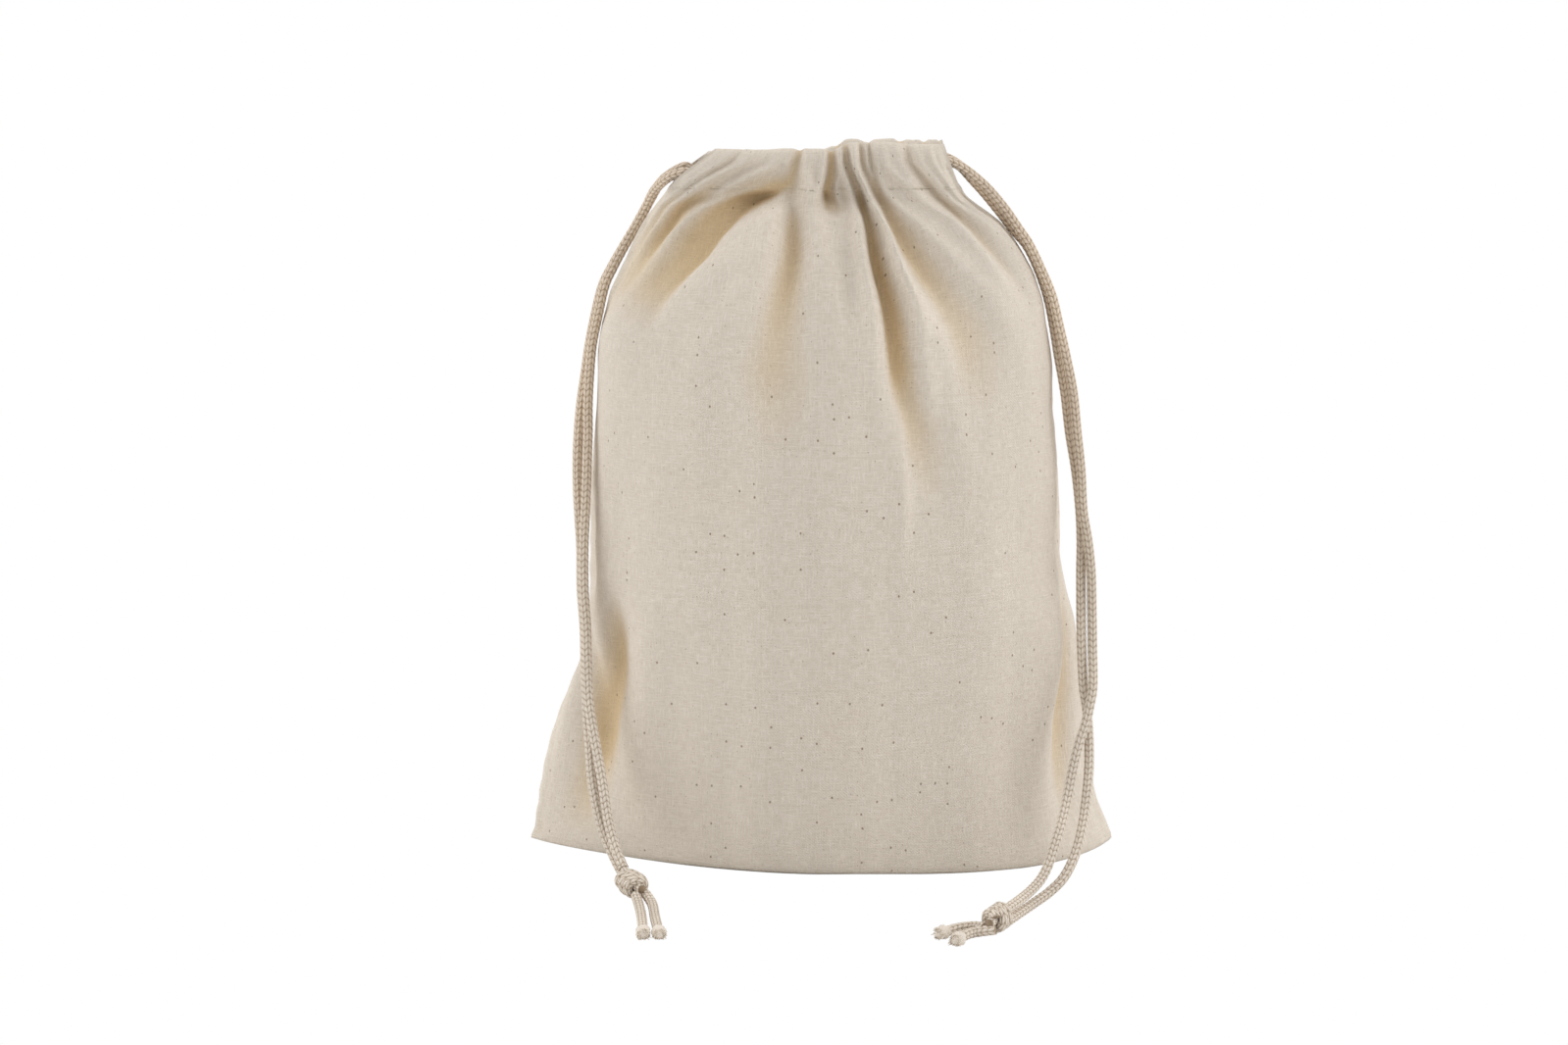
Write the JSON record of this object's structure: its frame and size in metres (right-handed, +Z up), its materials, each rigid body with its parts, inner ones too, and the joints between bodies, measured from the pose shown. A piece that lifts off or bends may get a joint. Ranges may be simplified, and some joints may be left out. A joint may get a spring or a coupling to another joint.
{
  "type": "drawstring produce bag",
  "caption": "Cotton drawstring produce bag, standing full with its mouth gathered shut by two knotted drawcords.",
  "frame": {"origin": "centre of the bag's flat bottom, on the surface it stands on", "axes": "+Z up from the bottom to the drawn mouth, +X towards the right side seam as seen from the front, -Y towards the front"},
  "size_m": [0.1996, 0.1637, 0.2387],
  "materials": {
    "cotton_cloth": "unbleached plain-weave cotton",
    "hem_cloth": "unbleached plain-weave cotton, folded and stitched",
    "braided_cord": "soft braided cotton cord"
  },
  "bodies": {
    "root": {"pouch": "cotton_cloth", "front_hem": "hem_cloth", "back_hem": "hem_cloth", "left_cord_in_hems": "braided_cord", "left_strand_front": "braided_cord", "left_strand_back": "braided_cord", "left_knot": "braided_cord", "left_tail_1": "braided_cord", "left_tail_2": "braided_cord", "right_cord_in_hems": "braided_cord", "right_strand_front": "braided_cord", "right_strand_back": "braided_cord", "right_knot": "braided_cord", "right_tail_1": "braided_cord", "right_tail_2": "braided_cord"}
  },
  "joints": []
}
